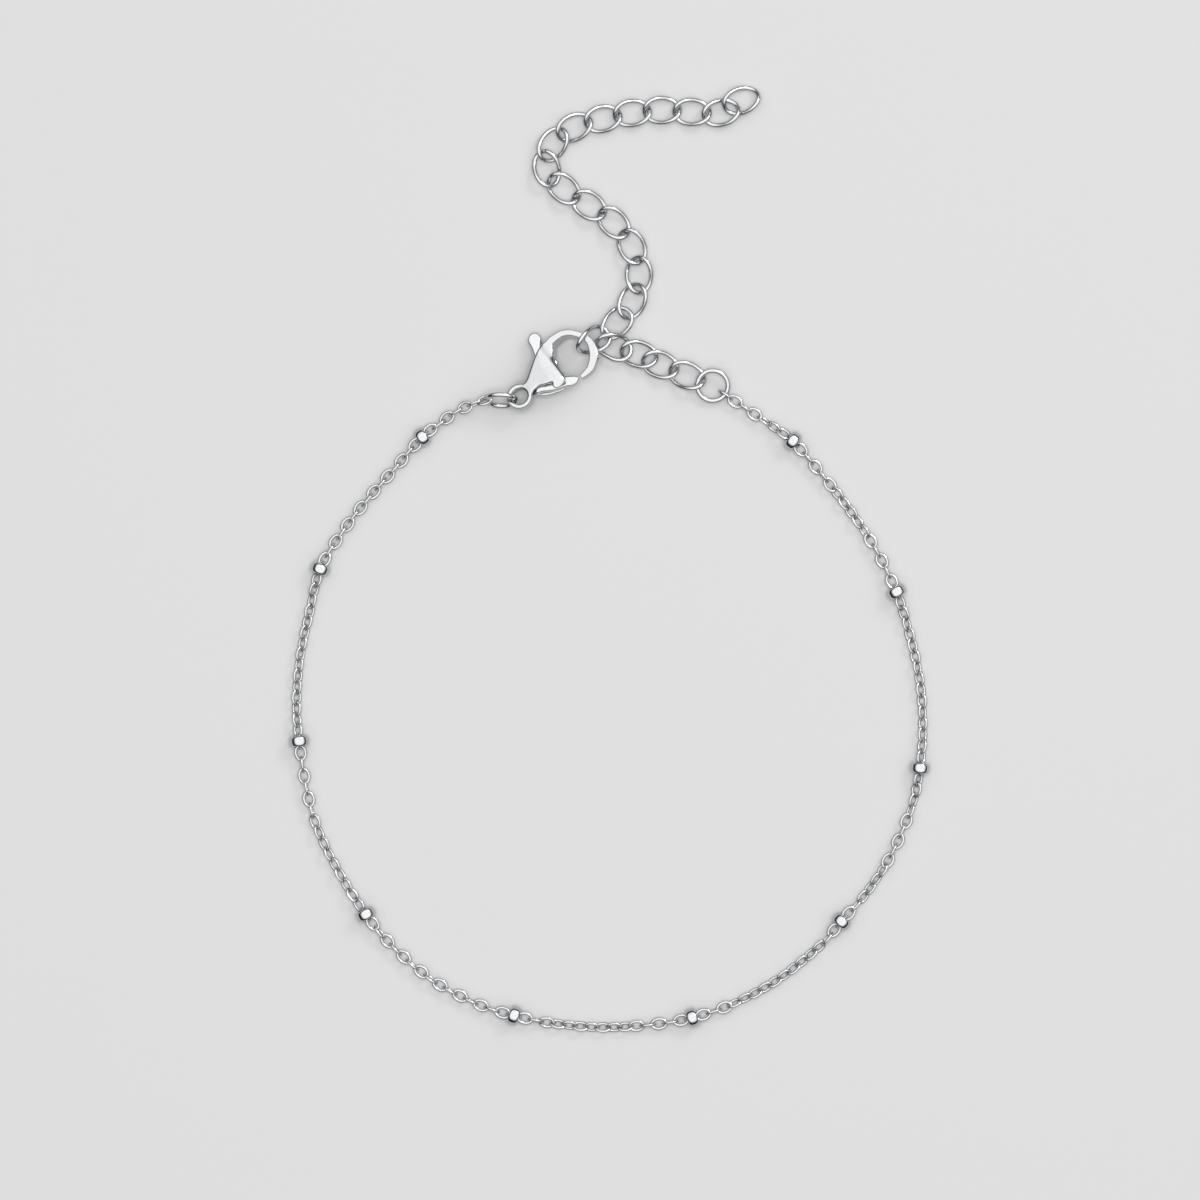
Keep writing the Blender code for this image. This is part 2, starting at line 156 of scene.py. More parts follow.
# %% Panel and room
panel_middle = Vector((0.10, 0.14, 1.0)).normalized()
panel_strength = 1.80
room, glow = (0.0, "#1f2022"), (0.76, "#ffffff")
between = ((0.28, "#303134"), (0.42, "#5c5d60"), (0.54, "#cccccc"), (0.66, "#f0f0f0"))
world = bpy.data.worlds.new("panel_in_a_dim_room")
world.use_nodes = True
bpy.context.scene.world = world
bpy.context.scene.view_settings.view_transform = "Standard"
sky = world.node_tree
backdrop = sky.nodes["Background"]
direction = add_node(sky, "ShaderNodeTexCoord")
closeness = add_node(sky, "ShaderNodeVectorMath", {0: direction.outputs["Generated"], 1: panel_middle},
                     operation="DOT_PRODUCT")
panel = add_node(sky, "ShaderNodeValToRGB", {"Fac": closeness.outputs["Value"]})
ramp = panel.color_ramp.elements
for stop, (position, colour) in zip((ramp[0], ramp[1]), (room, glow)):
    stop.position = position
    stop.color = linear(colour)
for position, colour in between:
    ramp.new(position).color = linear(colour)
sky.links.new(panel.outputs["Color"], backdrop.inputs["Color"])
backdrop.inputs["Strength"].default_value = panel_strength
print("stops of the panel's falling light:", [round(stop.position, 2) for stop in ramp])

# %% [markdown]
# ## Polished stainless steel
#
# Chain this fine is tumbled in steel shot until it is bright, which leaves the surface very slightly wavy
# and crossed by hair-fine marks. A metal's colour is its reflection, so the base colour is a light grey
# and the roughness is low. The marks are a few micrometres wide on the real thing, far too fine to show
# here, so they are drawn as coarse as 0.12 to 0.2 mm. The waves bend the reflections a little. Both could
# come from painted textures, but noise in the object's own coordinates needs no unwrapping and has the
# same scale on every piece.

# %% Steel
mark_roughness = (0.7, 1.4)    # shares of the mean roughness between the marks and on them
smooth_tone = 0.9              # brightness where the marks are fewest
wave_height = 0.02 * MM


def polished_steel(name, hex_colour, roughness, marks_mm, waves_mm, wave_depth):
    """Stainless steel, tumbled or buffed: marks change roughness and tone, waves bend the reflections."""
    made = bpy.data.materials.new(name)
    made.use_nodes = True
    tree = made.node_tree
    shader = tree.nodes["Principled BSDF"]
    shader.inputs["Metallic"].default_value = 1.0
    place = add_node(tree, "ShaderNodeTexCoord")
    marks = add_node(tree, "ShaderNodeTexNoise", {
        "Vector": place.outputs["Object"], "Scale": 1 / (marks_mm * MM), "Detail": 3.0, "Roughness": 0.6})
    rough = add_node(tree, "ShaderNodeMapRange", {
        "Value": marks.outputs["Fac"], "From Min": 0.3, "From Max": 0.7,
        "To Min": roughness * mark_roughness[0], "To Max": roughness * mark_roughness[1]})
    tree.links.new(rough.outputs["Result"], shader.inputs["Roughness"])
    tone = add_node(tree, "ShaderNodeValToRGB", {"Fac": marks.outputs["Fac"]})
    base = linear(hex_colour)
    tone.color_ramp.elements[0].position = 0.25
    tone.color_ramp.elements[0].color = (*[c * smooth_tone for c in base[:3]], 1.0)
    tone.color_ramp.elements[1].position = 0.6
    tone.color_ramp.elements[1].color = base
    tree.links.new(tone.outputs["Color"], shader.inputs["Base Color"])
    waves = add_node(tree, "ShaderNodeTexNoise", {
        "Vector": place.outputs["Object"], "Scale": 1 / (waves_mm * MM), "Detail": 2.0})
    bump = add_node(tree, "ShaderNodeBump", {
        "Height": waves.outputs["Fac"], "Strength": wave_depth, "Distance": wave_height})
    tree.links.new(bump.outputs["Normal"], shader.inputs["Normal"])
    return made


tumbled_steel = polished_steel("tumbled_stainless_steel", "#c1c2c4", roughness=0.14, marks_mm=0.12,
                               waves_mm=0.5, wave_depth=0.5)
bead_steel = polished_steel("mirror_polished_stainless_steel", "#bebfc0", roughness=0.09, marks_mm=0.15,
                            waves_mm=0.8, wave_depth=0.35)
cast_steel = polished_steel("buffed_cast_stainless_steel", "#bbbcbd", roughness=0.12, marks_mm=0.2,
                            waves_mm=1.2, wave_depth=0.45)
strip_steel = polished_steel("pressed_stainless_strip", "#c1c2c3", roughness=0.15, marks_mm=0.15,
                             waves_mm=0.9, wave_depth=0.4)
print("steels:", [m.name for m in (tumbled_steel, bead_steel, cast_steel, strip_steel)])

# %% [markdown]
# ## Taking places from the solids
#
# A link's solid already lies where the link lies. Its place could be typed again, but then the two could
# drift apart, so it is read from the solid's own points: their spread is widest along the link, next
# across it, and least along its normal.

# %% Frames of the solids
def mesh_points(mesh):
    """A mesh's points as the rows of an array."""
    flat = np.zeros(len(mesh.vertices) * 3)
    mesh.vertices.foreach_get("co", flat)
    return flat.reshape(-1, 3)


def node_matrix(node):
    """Matrix whose X, Y and Z are the solid's longest, middle and shortest directions."""
    points = np.unique(np.round(mesh_points(frame["nodes"][node].data), 7), axis=0)
    centre = points.mean(axis=0)
    _, _, directions = np.linalg.svd(points - centre)
    long_way, across = Vector(directions[0]), Vector(directions[1])
    turn = Matrix((long_way, across, long_way.cross(across))).transposed().to_4x4()
    return Matrix.Translation(centre) @ turn


def box_middle(node):
    """Middle of a solid's box."""
    low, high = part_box(node)
    return (Vector(low) + Vector(high)) / 2


def finish_piece(piece, body, slot_name, *nodes):
    """Hand a finished piece to the frame: what it rides on and what it replaces. slot_name is not used."""
    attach(piece, body)
    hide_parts(*nodes)
    triangles = sum(len(face.vertices) - 2 for face in piece.data.polygons)
    print(piece.name, "has", triangles, "triangles and stands for", len(nodes), "solids")


print("link 17 lies at", [round(c / MM, 2) for c in node_matrix("extender_link_17").translation])

# %% [markdown]
# ## One tree for each kind of link
#
# A chain maker winds wire on a mandrel, cuts the coil into links and closes them one through the next. All
# links of a chain are alike. They could be copied by hand, but Geometry Nodes draw one and set a copy at
# each point of a guide, so a new wire size or a new route changes them all. The helpers below open a tree
# with named inputs, close it with real mesh and steel, and run it once to keep only the plain mesh.

# %% Geometry Nodes helpers
def new_tree(name, inputs):
    """A geometry tree with named inputs. Returns the tree and its input node."""
    tree = bpy.data.node_groups.new(name, "GeometryNodeTree")
    tree.interface.new_socket("Geometry", in_out="INPUT", socket_type="NodeSocketGeometry")
    for label, kind in inputs.items():
        tree.interface.new_socket(label, in_out="INPUT", socket_type=kind)
    tree.interface.new_socket("Geometry", in_out="OUTPUT", socket_type="NodeSocketGeometry")
    return tree, tree.nodes.new("NodeGroupInput")


def close_tree(tree, geometry):
    """End a tree: copies become real mesh, then get their steel."""
    entry = next(node for node in tree.nodes if node.bl_idname == "NodeGroupInput")
    real = add_node(tree, "GeometryNodeRealizeInstances", {"Geometry": geometry})
    smooth = add_node(tree, "GeometryNodeSetShadeSmooth", {"Geometry": real.outputs["Geometry"]})
    steel = add_node(tree, "GeometryNodeSetMaterial", {
        "Geometry": smooth.outputs["Geometry"], "Material": entry.outputs["Steel"]})
    add_node(tree, "NodeGroupOutput", {"Geometry": steel.outputs["Geometry"]})


def run_tree(tree, guide, name, values):
    """Run a tree on a guide object and return its result as a plain mesh object."""
    modifier = guide.modifiers.new(tree.name, "NODES")
    modifier.node_group = tree
    for item in tree.interface.items_tree:
        if item.in_out == "INPUT" and item.name in values:
            modifier[item.identifier] = values[item.name]
    bpy.context.view_layer.update()
    evaluated = guide.evaluated_get(bpy.context.evaluated_depsgraph_get())
    mesh = bpy.data.meshes.new_from_object(evaluated)
    piece = add_object(name, mesh)
    bpy.data.objects.remove(guide, do_unlink=True)
    return piece


def link_guide(name, matrices):
    """A guide of bare points, each with its turn kept as Euler angles in an attribute."""
    mesh = bpy.data.meshes.new(name)
    mesh.from_pydata([matrix.translation for matrix in matrices], [], [])
    turns = mesh.attributes.new("turn", "FLOAT_VECTOR", "POINT")
    for index, matrix in enumerate(matrices):
        turns.data[index].vector = matrix.to_euler()
    return add_object(name, mesh)


def wire_section(tree, entry):
    """Round section of a wire, from the tree's inputs Wire and Sides."""
    radius = add_node(tree, "ShaderNodeMath", {0: entry.outputs["Wire"], 1: 0.5}, operation="MULTIPLY")
    return add_node(tree, "GeometryNodeCurvePrimitiveCircle", {
        "Resolution": entry.outputs["Sides"], "Radius": radius.outputs[0]}, mode="RADIUS")


def oval_size(tree, entry):
    """Size of the oval that a link's wire follows, half a wire inside the link's outline all round."""
    reach = [add_node(tree, "ShaderNodeMath", {0: entry.outputs[side], 1: entry.outputs["Wire"]},
                      operation="SUBTRACT").outputs[0] for side in ("Length", "Width")]
    return add_node(tree, "ShaderNodeCombineXYZ", {"X": reach[0], "Y": reach[1], "Z": 1.0})


number = "NodeSocketFloat"
whole = "NodeSocketInt"
metal = "NodeSocketMaterial"
print("kinds of input:", number, whole, metal)

# %% [markdown]
# ## Curb links
#
# A curb link is an oval that was gripped at both ends and twisted, so the links of a laid chain lie flat
# on one another. It could be shaped by hand, but it follows a rule: with the oval's half length a and half
# width b, the twist c lifts a point by -2 c xy / ab. The tree draws a circle of diameter 1, where that is
# -8 c xy, and stretches it into the oval.

# %% Curb link tree
curb_tree, entry = new_tree("curb_chain", {
    "Length": number, "Width": number, "Wire": number, "Twist": number, "Bends": whole, "Sides": whole,
    "Steel": metal})
stretch = oval_size(curb_tree, entry)
circle = add_node(curb_tree, "GeometryNodeCurvePrimitiveCircle", {
    "Resolution": entry.outputs["Bends"], "Radius": 0.5}, mode="RADIUS")
spot = add_node(curb_tree, "GeometryNodeInputPosition")
parts = add_node(curb_tree, "ShaderNodeSeparateXYZ", {"Vector": spot.outputs["Position"]})
product = add_node(curb_tree, "ShaderNodeMath", {0: parts.outputs["X"], 1: parts.outputs["Y"]},
                   operation="MULTIPLY")
lift = add_node(curb_tree, "ShaderNodeMath", {0: product.outputs[0], 1: -8.0}, operation="MULTIPLY")
twist = add_node(curb_tree, "ShaderNodeMath", {0: lift.outputs[0], 1: entry.outputs["Twist"]},
                 operation="MULTIPLY")
twist_offset = add_node(curb_tree, "ShaderNodeCombineXYZ", {"Z": twist.outputs[0]})
oval = add_node(curb_tree, "ShaderNodeVectorMath", {0: spot.outputs["Position"], 1: stretch.outputs[0]},
                operation="MULTIPLY")
twisted = add_node(curb_tree, "ShaderNodeVectorMath", {0: oval.outputs[0], 1: twist_offset.outputs[0]},
                   operation="ADD")
bent = add_node(curb_tree, "GeometryNodeSetPosition", {
    "Geometry": circle.outputs["Curve"], "Position": twisted.outputs[0]})
section = wire_section(curb_tree, entry)
drawn = add_node(curb_tree, "GeometryNodeCurveToMesh", {
    "Curve": bent.outputs["Geometry"], "Profile Curve": section.outputs["Curve"]})
stored_turn = add_node(curb_tree, "GeometryNodeInputNamedAttribute", {"Name": "turn"},
                       data_type="FLOAT_VECTOR")
turn = add_node(curb_tree, "FunctionNodeEulerToRotation", {"Euler": stored_turn.outputs["Attribute"]})
copies = add_node(curb_tree, "GeometryNodeInstanceOnPoints", {
    "Points": entry.outputs["Geometry"], "Instance": drawn.outputs["Mesh"], "Rotation": turn.outputs[0]})
close_tree(curb_tree, copies.outputs["Instances"])
print("nodes in the curb link's tree:", len(curb_tree.nodes))

# %% Curb chain
curb_nodes = ["extender_link_%02d" % index for index in range(1, 22)]
curb_guide = link_guide("curb_guide", [node_matrix(node) for node in curb_nodes])
curb_chain = run_tree(curb_tree, curb_guide, "curb_chain", {
    "Length": 4.5 * MM, "Width": 3.25 * MM, "Wire": 0.5 * MM, "Twist": 0.48 * MM, "Bends": 64, "Sides": 14,
    "Steel": tumbled_steel})
finish_piece(curb_chain, "anklet", "link_steel", *curb_nodes)

# %% [markdown]
# ## The fine chain's route
#
# The chain lies where the solid tube lies. It could be dropped on the table by a simulation, but then it
# would not lie as the photo shows it. So its route is a short list of given points, joined by a smooth
# curve. Links sit on the curve at even steps between beads, and one link hides in each bead.

# %% Route
route_mm = [
    (-17.10, 16.54), (-19.01, 15.19), (-21.09, 13.56),
    (-24.30, 9.95), (-27.00, 6.90), (-30.04, 3.00), (-32.57, -1.24),
    (-33.85, -6.36), (-34.88, -11.36), (-35.25, -16.60), (-34.93, -20.59),
    (-34.25, -25.20), (-33.00, -30.10), (-30.60, -35.10), (-27.45, -40.05),
    (-24.00, -44.10), (-19.57, -47.70), (-14.62, -50.25), (-10.80, -51.41),
    (-6.50, -52.31), (-0.80, -52.78), (5.17, -52.40), (9.22, -51.65),
    (13.75, -50.15), (18.80, -47.45), (23.50, -43.70), (25.99, -40.84),
    (29.05, -37.35), (31.85, -32.90), (33.98, -27.70), (34.82, -23.62),
    (35.16, -18.84), (34.82, -13.84), (33.75, -8.80), (32.18, -3.83),
    (29.90, 0.90), (27.00, 5.30), (23.72, 9.50), (20.53, 13.12),
    (18.35, 14.75), (16.09, 16.25)]
bead_places = [3, 7, 11, 15, 19, 23, 27, 31, 35, 39]
bead_nodes = ["bead_%02d" % index for index in range(1, 11)]
end_nodes = ["chain_end_link_left", "chain_end_link_right"]
left_end, right_end = [node_matrix(node).translation for node in end_nodes]
route = [left_end.xy] + [Vector(point) * MM for point in route_mm] + [right_end.xy]
print("points of the route:", len(route))


# %% Places of the links
def smooth_between(before, here, there, after, step):
    """Point of a smooth curve between two points, bent by the ones before and after."""
    return 0.5 * (2 * here + (there - before) * step
                  + (2 * before - 5 * here + 4 * there - after) * step ** 2
                  + (3 * here - before - 3 * there + after) * step ** 3)


def on_route(place):
    """Point of the smooth curve through the route, where place runs over the list's indexes."""
    index = min(int(place), len(route) - 2)
    here, there = route[index], route[index + 1]
    before = route[index - 1] if index > 0 else here * 2 - there
    after = route[index + 2] if index + 2 < len(route) else there * 2 - here
    return smooth_between(before, here, there, after, place - index)


def even_places(start, end, count, samples=400):
    """Places on the route that cut a stretch into steps of equal length, measured on many samples."""
    fine = [start + (end - start) * index / samples for index in range(samples + 1)]
    points = [on_route(place) for place in fine]
    run = np.concatenate([[0], np.cumsum([(b - a).length for a, b in zip(points, points[1:])])])
    print("stretch of %.1f mm in %d steps of %.2f mm" % (run[-1] / MM, count, run[-1] / MM / count))
    return list(np.interp(np.linspace(0, run[-1], count + 1), run, fine))


steps_between_beads = 16
steps_at_left = 7
steps_at_right = 7
stops = [0] + bead_places + [len(route) - 1]
steps = [steps_at_left] + [steps_between_beads] * (len(bead_places) - 1) + [steps_at_right]
link_places = [0.0]
for start, end, count in zip(stops, stops[1:], steps):
    link_places += even_places(start, end, count)[1:]
print("links in the fine chain:", len(link_places))

# %% [markdown]
# ## How a cable chain turns
#
# Each link of a cable chain stands at a right angle to the next. Laid down, the pairs either lean both
# ways at 45 degrees, or one lies flat and the next stands on its edge. The photo shows stretches of both,
# so a short table gives the lean along each stretch, and the curve's tilt carries it to the links.

# %% Lean of the links
leans = {
    0: [(0, 36), (0.25, 0), (1, 0)],
    1: [(0, 0), (1, 0)],
    2: [(0, 20), (0.1, 45), (1, 45)],
    3: [(0, 0), (0.4, 0), (0.5, 42), (1, 45)],
    4: [(0, 10), (1, 0)],
    5: [(0, 0), (0.15, 0), (0.25, 45), (0.6, 45), (0.7, 0), (1, 0)],
    6: [(0, 0), (0.2, 0), (0.3, 45), (0.75, 45), (0.85, 0), (1, 0)],
    7: [(0, 0), (0.12, 0), (0.2, 45), (0.35, 45), (0.45, 0), (0.65, 0), (0.75, 45), (1, 45)],
    8: [(0, 45), (1, 45)],
    9: [(0, 0), (0.3, 0), (0.38, 45), (0.62, 45), (0.72, 0), (1, 0)],
    10: [(0, 45), (0.4, 45), (0.6, 90), (1, 90)]}
fine_length = 1.98 * MM
fine_width = 1.45 * MM
fine_wire = 0.33 * MM
print("fine link in mm:", round(fine_length / MM, 2), "by", round(fine_width / MM, 2))


# %% Height of the chain
lifts = [(box_middle(node), 0.6 * MM, 3.0 * MM) for node in bead_nodes]      # middle, seat and slope
lifts += [(end, 0.0, 6.0 * MM) for end in (left_end, right_end)]


def lean_at(place):
    """Degrees that the link pairs lean at a place on the route."""
    stretch_index = max(index for index, stop in enumerate(stops[:-1]) if place >= stop - 1e-6)
    start, end = stops[stretch_index], stops[stretch_index + 1]
    shares, degrees = zip(*leans[stretch_index])
    return float(np.interp((place - start) / (end - start), shares, degrees))


def softened(share):
    """Give a share from 0 to 1 a soft start and end."""
    return share * share * (3 - 2 * share)


def chain_height(point, lean):
    """Height of the chain's middle: the taller of two links stands on the table, beads and ends lift it."""
    reach = (fine_width - fine_wire) / 2
    tallest = max(abs(math.sin(math.radians(lean))), abs(math.cos(math.radians(lean))))
    height = reach * tallest + fine_wire / 2
    for middle, seat, slope in lifts:
        share = min(max(1 - ((point - middle.xy).length - seat) / slope, 0.0), 1.0)
        height = max(height, height + (middle.z - height) * softened(share))
    return height


chain_points = []
for place in link_places:
    point = on_route(place)
    chain_points.append((*point, chain_height(point, lean_at(place))))
guide_curve = bpy.data.curves.new("fine_guide", "CURVE")
guide_curve.dimensions = "3D"
guide_curve.twist_mode = "Z_UP"
spline = guide_curve.splines.new("POLY")
spline.points.add(len(chain_points) - 1)
for spline_point, point, place in zip(spline.points, chain_points, link_places):
    spline_point.co = (*point, 1.0)
    spline_point.tilt = math.radians(lean_at(place))
fine_guide = add_object("fine_guide", guide_curve)
print("guide points:", len(spline.points))

# %% [markdown]
# ## Fine cable links
#
# A cable link is a plain oval of fine wire, a little flatter than round. An array modifier could set them
# in a row, but not lean them as they lie. So the tree follows the guide: it turns the curve's
# points into places, sets an oval link on each along the curve, and turns every second one by a right
# angle. A little chance in the turn keeps the row from looking machine-made, and its seed is fixed.

# %% Fine link tree
fine_tree, entry = new_tree("cable_chain", {
    "Length": number, "Width": number, "Wire": number, "Flatness": number, "Bends": whole, "Sides": whole,
    "Play": number, "Seed": whole, "Steel": metal})
places = add_node(fine_tree, "GeometryNodeCurveToPoints", {"Curve": entry.outputs["Geometry"]},
                  mode="EVALUATED")
along = add_node(fine_tree, "FunctionNodeAxesToRotation", {
    "Primary Axis": places.outputs["Tangent"], "Secondary Axis": places.outputs["Normal"]},
    primary_axis="X", secondary_axis="Y")
order = add_node(fine_tree, "GeometryNodeInputIndex")
odd = add_node(fine_tree, "ShaderNodeMath", {0: order.outputs["Index"], 1: 2.0}, operation="MODULO")
quarter = add_node(fine_tree, "ShaderNodeMath", {0: odd.outputs[0], 1: math.pi / 2}, operation="MULTIPLY")
least = add_node(fine_tree, "ShaderNodeMath", {0: entry.outputs["Play"], 1: -1.0}, operation="MULTIPLY")
chance = add_node(fine_tree, "FunctionNodeRandomValue", {
    "Min": least.outputs[0], "Max": entry.outputs["Play"], "Seed": entry.outputs["Seed"]},
    data_type="FLOAT")
roll = add_node(fine_tree, "ShaderNodeMath", {0: quarter.outputs[0], 1: chance.outputs["Value"]},
                operation="ADD")
about = add_node(fine_tree, "FunctionNodeAxisAngleToRotation", {
    "Axis": (1, 0, 0), "Angle": roll.outputs[0]})
turned = add_node(fine_tree, "FunctionNodeRotateRotation", {
    "Rotation": along.outputs["Rotation"], "Rotate By": about.outputs["Rotation"]}, rotation_space="LOCAL")
ring = add_node(fine_tree, "GeometryNodeCurvePrimitiveCircle", {
    "Resolution": entry.outputs["Bends"], "Radius": 0.5}, mode="RADIUS")
oval = add_node(fine_tree, "GeometryNodeTransform", {
    "Geometry": ring.outputs["Curve"], "Scale": oval_size(fine_tree, entry).outputs[0]})
section = wire_section(fine_tree, entry)
flat_size = add_node(fine_tree, "ShaderNodeCombineXYZ", {
    "X": 1.0, "Y": entry.outputs["Flatness"], "Z": 1.0})
flat_section = add_node(fine_tree, "GeometryNodeTransform", {
    "Geometry": section.outputs["Curve"], "Scale": flat_size.outputs[0]})
drawn = add_node(fine_tree, "GeometryNodeCurveToMesh", {
    "Curve": oval.outputs["Geometry"], "Profile Curve": flat_section.outputs["Geometry"]})
copies = add_node(fine_tree, "GeometryNodeInstanceOnPoints", {
    "Points": places.outputs["Points"], "Instance": drawn.outputs["Mesh"],
    "Rotation": turned.outputs["Rotation"]})
close_tree(fine_tree, copies.outputs["Instances"])
print("nodes in the fine link's tree:", len(fine_tree.nodes))

# %% Fine chain
fine_chain = run_tree(fine_tree, fine_guide, "fine_chain", {
    "Length": fine_length, "Width": fine_width, "Wire": fine_wire, "Flatness": 0.9, "Bends": 22, "Sides": 8,
    "Play": math.radians(7), "Seed": 4, "Steel": tumbled_steel})
finish_piece(fine_chain, "anklet", "chain_steel", "chain", *end_nodes)

# %% [markdown]
# ## Beads
#
# The beads are short rounds turned from tube: a narrow band, well rounded shoulders and a bore that the
# chain runs through. A sphere with a hole would be too long for its width. So a profile is drawn from
# quarter arcs, as a lathe would cut it, and turned round the bead's axis. A bead sits loosely on its
# chain, so some lean a few degrees on it.

# %% Turned beads
def arc(centre, reach, start, end, count):
    """Points on an arc with its own reach outwards and along, from one angle to another in degrees."""
    angles = [math.radians(start + (end - start) * index / count) for index in range(count + 1)]
    return [(centre[0] + reach[0] * math.cos(a), centre[1] + reach[1] * math.sin(a)) for a in angles]


def bead_section(diameter, length, bore, shoulder, lip):
    """Closed half section of a bead as (radius, height), down the outside and up the bore."""
    outer, inner, half = diameter / 2, bore / 2, length / 2
    fall, run = shoulder
    points = arc((outer - fall, half - run), shoulder, 90, 0, 8)
    points += arc((outer - fall, run - half), shoulder, 0, -90, 8)
    points += arc((inner + lip, lip - half), (lip, lip), -90, -180, 3)
    points += arc((inner + lip, half - lip), (lip, lip), 180, 90, 3)
    return points


def turned_mesh(name, section_points, steps, matrix, steel):
    """Turn a closed section round Z, then put the mesh in its place."""
    mesh = bpy.data.meshes.new(name)
    rows = len(section_points)
    points = []
    for step in range(steps):
        angle = 2 * math.pi * step / steps
        points += [(r * math.cos(angle), r * math.sin(angle), z) for r, z in section_points]
    faces = []
    for step in range(steps):
        here, there = step * rows, (step + 1) % steps * rows
        for row in range(rows):
            after = (row + 1) % rows
            faces.append((here + row, here + after, there + after, there + row))
    mesh.from_pydata(points, [], faces)
    mesh.transform(matrix)
    mesh.shade_smooth()
    mesh.materials.append(steel)
    return mesh


print("points on a quarter of a shoulder:", len(arc((0, 0), (1, 1), 0, 90, 8)))

# %% Beads in place
bead_profile = bead_section(diameter=2.2 * MM, length=1.2 * MM, bore=1.5 * MM,
                            shoulder=(0.27 * MM, 0.5 * MM), lip=0.06 * MM)
bead_steps = 48
look_ahead = 0.1               # of the way to the next point of the route
bead_leans = {"bead_01": -8, "bead_04": -7, "bead_05": -8, "bead_06": 6, "bead_09": 8, "bead_10": 7}
for node, place in zip(bead_nodes, bead_places):
    ahead = on_route(place + look_ahead) - on_route(place - look_ahead)
    along = Vector((ahead.x, ahead.y, 0)).normalized()
    along.rotate(Matrix.Rotation(math.radians(bead_leans.get(node, 0)), 3, "Z"))
    up = Vector((0, 0, 1))
    turn = Matrix((up, along.cross(up), along)).transposed().to_4x4()
    bead_place = Matrix.Translation(box_middle(node)) @ turn
    name = node + "_turned"
    bead = add_object(name, turned_mesh(name, bead_profile, bead_steps, bead_place, bead_steel))
    finish_piece(bead, "anklet", "bead_steel", node)

# %% [markdown]
# ## Jump rings
#
# A jump ring is one turn cut from a coil of wire, pushed shut by hand. Its two ends meet with a hairline
# and sit a trace out of line. A torus would have no cut, so the tree draws an arc that stops just short of
# a full turn and climbs a little on its way round.

# %% Split ring tree
ring_tree, entry = new_tree("split_ring", {
    "Radius": number, "Wire": number, "Opening": number, "Offset": number, "Bends": whole, "Sides": whole,
    "Steel": metal})
sweep = add_node(ring_tree, "ShaderNodeMath", {0: 2 * math.pi, 1: entry.outputs["Opening"]},
                 operation="SUBTRACT")
turn_arc = add_node(ring_tree, "GeometryNodeCurveArc", {
    "Resolution": entry.outputs["Bends"], "Radius": entry.outputs["Radius"],
    "Sweep Angle": sweep.outputs[0]}, mode="RADIUS")
share = add_node(ring_tree, "GeometryNodeSplineParameter")
rise = add_node(ring_tree, "ShaderNodeMath", {0: share.outputs["Factor"], 1: 0.5}, operation="SUBTRACT")
step_up = add_node(ring_tree, "ShaderNodeMath", {0: rise.outputs[0], 1: entry.outputs["Offset"]},
                   operation="MULTIPLY")
step_vector = add_node(ring_tree, "ShaderNodeCombineXYZ", {"Z": step_up.outputs[0]})
wound = add_node(ring_tree, "GeometryNodeSetPosition", {
    "Geometry": turn_arc.outputs["Curve"], "Offset": step_vector.outputs[0]})
section = wire_section(ring_tree, entry)
drawn = add_node(ring_tree, "GeometryNodeCurveToMesh", {
    "Curve": wound.outputs["Geometry"], "Profile Curve": section.outputs["Curve"], "Fill Caps": True})
close_tree(ring_tree, drawn.outputs["Mesh"])
print("nodes in the jump ring's tree:", len(ring_tree.nodes))

# %% Jump rings in place
ring_wire = 0.55 * MM
ring_gap = 0.03 * MM
ring_climb = 0.06 * MM


def add_jump_ring(node, diameter, split_towards):
    """A split ring in the plane of its solid, with its cut on the side of a given direction."""
    matrix = node_matrix(node)
    normal = matrix.to_3x3().col[2]
    cut = Vector(split_towards)
    cut = (cut - normal * cut.dot(normal)).normalized()
    turn = Matrix((cut, normal.cross(cut), normal)).transposed().to_4x4()
    guide = link_guide(node + "_guide", [Matrix.Identity(4)])
    opening = ring_gap / (diameter / 2)
    piece = run_tree(ring_tree, guide, node + "_split", {
        "Radius": (diameter - ring_wire) / 2, "Wire": ring_wire, "Opening": opening, "Offset": ring_climb,
        "Bends": 72, "Sides": 16, "Steel": tumbled_steel})
    spin = Matrix.Rotation(opening / 2, 4, "Z")
    piece.data.transform(Matrix.Translation(matrix.translation) @ turn @ spin)
    finish_piece(piece, "anklet", "link_steel", node)


add_jump_ring("jump_ring_right", 4.0 * MM, (-0.25, 1, 0))
add_jump_ring("jump_ring_left", 4.1 * MM, (-1, 0.2, 0.6))

# %% [markdown]
# ## Clasp
#
# The clasp is cast in one piece and buffed: a ring for an eye, a casing of two plates with a slot between
# them, and a flat-faced hook that bends round to its tip. It could be joined by booleans, but cast metal
# has no crisp joints. So the parts are modelled apart, melted into one skin by a voxel remesh, and
# smoothed. All outlines are given as shares of the clasp's length and width, from the middle of the eye: u
# towards the hook and v across.

# %% Clasp plane
clasp_length = 11.7 * MM
clasp_width = 6.4 * MM
held_share = Vector((0.830, -0.040))              # the point of the hook that holds link 17
held_place = Vector((-2.63, 24.24, 2.37)) * MM
heading, dip, tilt = math.radians(41.4), math.radians(1), math.radians(-20)
clasp_turn = Matrix.Rotation(heading, 4, "Z") @ Matrix.Rotation(dip, 4, "Y") @ Matrix.Rotation(tilt, 4, "X")
from_eye = Vector((held_share.x * clasp_length, held_share.y * clasp_width, 0))
clasp_place = Matrix.Translation(held_place) @ clasp_turn @ Matrix.Translation(-from_eye)
hinge = frame["joints"][0]
lean = clasp_place.to_3x3().col[2].angle(Vector(hinge["axis"]))
print("hinge axis and clasp normal differ by", round(math.degrees(lean), 3), "degrees")


def in_plane(shares):
    """Turn shares of the clasp's length and width into metres."""
    return [Vector((u * clasp_length, v * clasp_width)) for u, v in shares]


